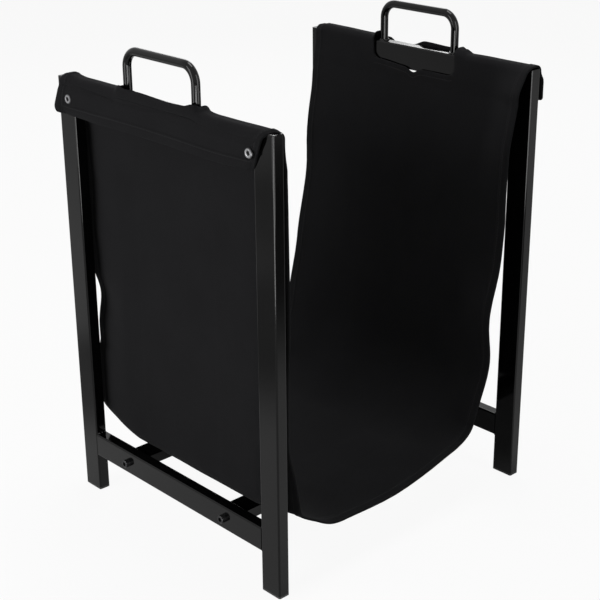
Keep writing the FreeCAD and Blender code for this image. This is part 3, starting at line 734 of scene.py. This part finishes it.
def stitchMesh(run, across, half):
    # Even stitches along a line in the cloth, on both faces: six-sided pods lying along the line.
    # The pod's width at u along it is root(1 - u squared).
    points, normals = onCloth(run, across)
    walk = np.concatenate([[0], np.cumsum(np.linalg.norm(np.diff(points, axis=0), axis=1))])
    marks = np.arange(0.5, walk[-1] / stitch["pitch"]) * stitch["pitch"]
    place, normal = (np.stack([np.interp(marks, walk, field[:, i]) for i in range(3)], -1)
                     for field in (points, normals))
    ahead = np.gradient(place, axis=0)
    ahead /= np.linalg.norm(ahead, axis=1, keepdims=True)
    side = np.cross(normal, ahead)
    u = np.array([-1, -0.75, 0, 0.75, 1])[:, None]
    rings, sides = len(u), 6
    turn = np.arange(sides) * 2 * np.pi / sides
    wide = np.sqrt(np.clip(1 - u ** 2, 0.06, 1))
    pod = np.stack([np.broadcast_to(u, (rings, sides)) * stitch["length"] / 2,
                    wide * np.cos(turn) * stitch["width"],
                    wide * np.sin(turn) * stitch["height"]], -1).reshape(-1, 3)
    pods = []
    for face in (1, -1):
        centre = place + normal * face * (half - stitch["sunk"])
        basis = (ahead, side * face, normal * face)
        pods.append(sum(pod[None, :, i, None] * basis[i][:, None] for i in range(3)) + centre[:, None])
    pods = np.concatenate(pods)
    starts = len(pod) * np.arange(len(pods))[:, None, None]
    return pods.reshape(-1, 3), (tubeFaces(rings, sides)[None] + starts).reshape(-1, 4)


def sillRun(side, world):
    # Length along the strip at which the inner cloth is a hem's width below the sill, column by column
    first, last = panelRows[side]
    rows = slice(first, last, -signOf[side])
    column = np.argmin(np.abs(columnY[:, None] + sling["shift"] - world), axis=0)
    heights, runs = profile[rows][:, column, 1], length[rows][:, column]
    down = swells(world, railLines[side]["sill"]) - window["hem"]
    below, each = (heights > down).sum(axis=0), np.arange(len(world))
    share = (heights[below - 1, each] - down) / (heights[below - 1, each] - heights[below, each])
    return runs[below - 1, each] + share * (runs[below, each] - runs[below - 1, each])


def makeStitches():
    # Both long hems of the sling, the hems of the flaps, and a line below each window's sill
    line = sling["halfWidth"] - sling["stitchLine"]
    hemFace = sling["hem"] - sling["dent"]

    def runAt(row, across):
        return np.interp(across, columnY, length[row])

    hems = []
    for across in (-line, line):
        run = np.arange(runAt(leftJoin, across) + 2, runAt(rightJoin, across) - 2, 1.0)
        hems.append(stitchMesh(run, np.full(len(run), across), hemFace))
    world = np.arange(-stitch["sillHalf"], stitch["sillHalf"] + 0.5, 2.0)
    for side in signOf:
        hems.append(stitchMesh(sillRun(side, world), world - sling["shift"], sling["cloth"]))
    obj = joined("sling_stitches", hems, "thread")
    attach(obj, "sling")
    for side, sign in signOf.items():

        def fromEdge(distance, across):
            return distance if side == "left" else runAt(-1, across) - distance

        lines = []
        for across in (-line, line):
            reach = fromEdge(runAt(leftJoin if side == "left" else rightJoin, across), across)
            down = np.arange(sling["stitchLine"], reach - 1.5, 1.0)
            lines.append(stitchMesh(fromEdge(down, across), np.full(len(down), across), hemFace))
        across = np.arange(-line, line + 0.5, 1.0)
        lines.append(stitchMesh(fromEdge(np.full(len(across), sling["stitchLine"]), across), across, hemFace))
        flapStitches = joined(side + "_flap_stitches", lines, "thread")
        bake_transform(flapStitches)


makeStitches()
print("stitches sewn")

print("cloth made")


# Weld beads: round each handle foot, and in the corners of the lower rails and legs, in millimetres
weld = {"rod": 5.0, "bead": 1.7, "railTop": 538.0, "handle": (204.5, 59.5), "corner": 2.2,
        "leg": 157.0, "rail": (50.0, 80.0), "tube": (198.2, 210.8)}


def footBead(sx, sy):
    # Ring round a handle foot. Its radius is the bead times (1 + a tenth of two waves round it).
    rings, sides, far = 48, 10, sy > 0
    turn = np.linspace(0, 2 * np.pi, rings, endpoint=False)[:, None]
    tube = np.linspace(0, 2 * np.pi, sides, endpoint=False)
    size = weld["bead"] * (1 + 0.1 * np.sin(9 * turn + far) + 0.1 * np.sin(4 * turn + sx))
    out = weld["rod"] - 0.2 + size * (0.35 + np.cos(tube))
    points = np.stack([sx * weld["handle"][0] + out * np.cos(turn),
                       sy * weld["handle"][1] + out * np.sin(turn),
                       weld["railTop"] + size * (0.15 + np.sin(tube))], -1)
    return points.reshape(-1, 3), tubeFaces(rings, sides, looped=True)[:, [0, 3, 2, 1]]


def cornerBead(sx, sy, height, up):
    # Bar across the tube in a corner of rail and leg. Its radius is the bead times (1 + a tenth of two
    # waves along it), and at u along it times root(1 - u to the eighth), which rounds its ends.
    rings, sides, far = 25, 8, sy > 0
    steps = np.linspace(0, 1, rings)[:, None]
    around = np.linspace(0, 2 * np.pi, sides, endpoint=False)
    low, high = weld["tube"]
    ends = np.sqrt(np.clip(1 - (2 * steps - 1) ** 8, 0.15, 1))
    size = weld["corner"] * (1 + 0.1 * np.sin(40 * steps + far) + 0.08 * np.sin(17 * steps)) * ends
    points = np.stack([np.broadcast_to(sx * (low + (high - low) * steps), (rings, sides)),
                       sy * (weld["leg"] + 0.1 - size * (0.25 + 0.75 * np.cos(around))),
                       height + up * (size * (0.25 + 0.75 * np.sin(around)) - 0.1)], -1)
    faces = tubeFaces(rings, sides)
    return points.reshape(-1, 3), faces[:, ::-1] if sx * sy * up > 0 else faces


def makeWelds():
    ends = [(sx, sy) for sx in (-1, 1) for sy in (-1, 1)]
    beads = {"handle_welds": [footBead(sx, sy) for sx, sy in ends],
             "rail_welds": [cornerBead(sx, sy, height, up) for sx, sy in ends
                            for height, up in zip(weld["rail"], (-1, 1))]}
    for name, parts in beads.items():
        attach(joined(name, parts, "black_paint"), "stand")


makeWelds()
print("welds laid")


# Studio: pale floor, white surround and soft lamps. Places of the floor are dimmer in the gloss paint's
# reflections (middle, reach, share), or lighter where the share is negative; this is painted shade and light
# seen only in reflections: a painted shadow of the object under it, and painted dim and bright patches of the
# surroundings. A lamp has its size, power, place, the height on the middle axis that it faces, and whether it
# shows in diffuse and in glossy light: the front ones only give the gloss on upright edges, the left one only
# lights.
studio = {
    "floorSize": 12, "floorDrop": 0.0005, "floorTone": 0.9, "seen": 0.935, "mirrored": 0.62,
    "horizon": 0.50, "zenith": 0.0,
    "places": (((-0.75, 0.38), 0.42, 0.62), ((-1.20, 0.80), 0.50, 0.52), ((0.45, -1.15), 0.65, 0.82),
               ((0.85, -1.50), 0.50, 0.75), ((0.08, -0.05), 0.27, 0.75), ((-0.40, 0.45), 0.24, 0.50),
               ((0.03, -0.45), 0.40, -0.35), ((1.70, -1.30), 1.00, -0.40)),
    "lamps": (("softOverhead", (0.9, 0.9), 20.0, (0.25, 0.0, 2.4), 0.40, True, True),
              ("softLeft", (1.2, 0.5), 11.5, (-1.6, 0.25, 0.80), 0.40, True, False),
              ("softBehind", (1.0, 1.0), 11.0, (1.6, 1.7, 1.5), 0.40, True, True),
              ("softFront", (0.7, 0.34), 7.616, (-0.75, -0.80, 0.18), 0.18, False, True),
              ("softFrontLeft", (0.4, 1.0), 7.04, (-1.13, 0.21, 0.67), 0.67, False, True),
              ("softFrontRight", (0.4, 1.0), 7.04, (0.07, -0.91, 0.67), 0.67, False, True)),
}


def makeFloor():
    # it glows where the camera or the gloss sees it, so it is pale and still takes the object's shadow
    size, drop = studio["floorSize"], studio["floorDrop"]
    mesh = bpy.data.meshes.new("floor")
    corners = [(x * size, y * size, -drop) for x, y in ((-1, -1), (1, -1), (1, 1), (-1, 1))]
    mesh.from_pydata(corners, [], [(0, 1, 2, 3)])
    floor = bpy.data.objects.new("floor", mesh)
    scene.collection.objects.link(floor)
    material, tree, shader = newMaterial("paleFloor")
    setInputs(shader, {"Roughness": 0.9, "Specular IOR Level": 0})
    glow, mix = addNode(tree, "ShaderNodeEmission"), addNode(tree, "ShaderNodeMixShader")
    path = addNode(tree, "ShaderNodeLightPath")
    seen = math2(tree, "MAXIMUM", math2(tree, "MULTIPLY", path.outputs["Is Camera Ray"], studio["seen"]),
                 math2(tree, "MULTIPLY", path.outputs["Is Glossy Ray"], studio["mirrored"]))
    coords = addNode(tree, "ShaderNodeTexCoord")
    level = 1.0
    # painted shadow and painted reflections: for glossy rays only, the floor's glow and colour are dimmed or
    # brightened in these places
    for (x, y), reach, share in studio["places"]:
        away = addNode(tree, "ShaderNodeVectorMath", operation="DISTANCE")
        tree.links.new(coords.outputs["Object"], away.inputs[0])
        away.inputs[1].default_value = (x, y, 0)
        near = softStep(tree, away.outputs["Value"], reach, reach / 3, high=share)
        glossyPaintedDim = math2(tree, "MULTIPLY", near, path.outputs["Is Glossy Ray"])
        level = math2(tree, "MULTIPLY", level, math2(tree, "SUBTRACT", 1.0, glossyPaintedDim))
    tree.links.new(level, glow.inputs["Strength"])
    tree.links.new(ramp(tree, level, (0, 0, 0), (studio["floorTone"],) * 3), shader.inputs["Base Color"])
    tree.links.new(seen, mix.inputs["Fac"])
    tree.links.new(shader.outputs[0], mix.inputs[1])
    tree.links.new(glow.outputs[0], mix.inputs[2])
    tree.links.new(mix.outputs[0], tree.nodes["Material Output"].inputs["Surface"])
    mesh.materials.append(material)


def makeSurround():
    # white to the camera and in reflections; as light, most from the sides and least from straight above,
    # by (1 - height) cubed
    world = bpy.data.worlds.new("whiteSurround")
    scene.world = world
    world.use_nodes = True
    tree = world.node_tree
    back = setInputs(tree.nodes["Background"], {"Color": (1, 1, 1, 1)})
    path = addNode(tree, "ShaderNodeLightPath")
    seen = math2(tree, "MAXIMUM", path.outputs["Is Camera Ray"], path.outputs["Is Glossy Ray"])
    seen = math2(tree, "MAXIMUM", seen, path.outputs["Is Transmission Ray"])
    coords, split = addNode(tree, "ShaderNodeTexCoord"), addNode(tree, "ShaderNodeSeparateXYZ")
    tree.links.new(coords.outputs["Generated"], split.inputs[0])
    low = math2(tree, "POWER", math2(tree, "SUBTRACT", 1.0, split.outputs[2], clamp=True), 3.0)
    lit = addNode(tree, "ShaderNodeMix")
    tree.links.new(seen, lit.inputs["Factor"])
    tree.links.new(span(tree, low, studio["zenith"], studio["horizon"]), lit.inputs["A"])
    lit.inputs["B"].default_value = 1.0
    tree.links.new(lit.outputs["Result"], back.inputs["Strength"])


def makeLamps():
    for name, (wide, high), power, place, aim, diffuse, glossy in studio["lamps"]:
        lamp = bpy.data.lights.new(name, "AREA")
        lamp.shape, lamp.size, lamp.size_y, lamp.energy = "RECTANGLE", wide, high, power
        obj = bpy.data.objects.new(name, lamp)
        obj.location = place
        obj.rotation_euler = (Vector(place) - Vector((0, 0, aim))).to_track_quat("Z", "Y").to_euler()
        obj.visible_camera, obj.visible_diffuse, obj.visible_glossy = False, diffuse, glossy
        scene.collection.objects.link(obj)


makeFloor()
makeSurround()
makeLamps()
print("studio lit")
